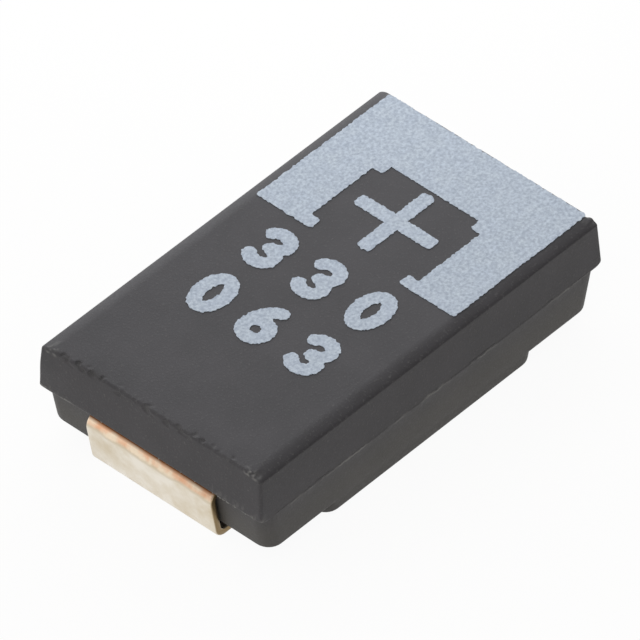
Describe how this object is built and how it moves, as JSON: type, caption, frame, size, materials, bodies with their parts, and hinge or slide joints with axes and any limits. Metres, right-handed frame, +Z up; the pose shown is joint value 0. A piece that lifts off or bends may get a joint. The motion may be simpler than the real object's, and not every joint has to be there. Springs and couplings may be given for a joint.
{
  "type": "surface-mount tantalum capacitor",
  "caption": "Low moulded block with a folded flat metal terminal under each end and a pale polarity band printed on top, holding a wired, coated tantalum anode.",
  "frame": {"origin": "centre of the footprint on the seating plane, under the middle of the case", "axes": "+X along the case towards the anode (marked) end, +Y across the case, +Z up out of the marked face"},
  "size_m": [0.0072, 0.0044, 0.0018],
  "materials": {
    "moulded_case": "dark grey moulded epoxy, fine matt texture",
    "cathode_terminal": "tin-plated copper alloy strip, satin",
    "anode_terminal": "tin-plated copper alloy strip, satin",
    "anode_pellet": "sintered tantalum powder",
    "anode_wire": "drawn tantalum wire",
    "insulating_washer": "white fluoropolymer",
    "polymer_coat": "blue-black conductive polymer",
    "graphite_coat": "dull graphite",
    "silver_coat": "matt silver paint",
    "silver_adhesive": "silver-filled adhesive",
    "polarity_band": "pale blue-grey print, finely speckled"
  },
  "bodies": {
    "root": {"moulded_case": "moulded_case", "cathode_terminal": "cathode_terminal", "anode_terminal": "anode_terminal", "anode_pellet": "anode_pellet", "anode_wire": "anode_wire", "insulating_washer": "insulating_washer", "polymer_coat": "polymer_coat", "graphite_coat": "graphite_coat", "silver_coat": "silver_coat", "silver_adhesive": "silver_adhesive", "polarity_band": "polarity_band"}
  },
  "joints": []
}
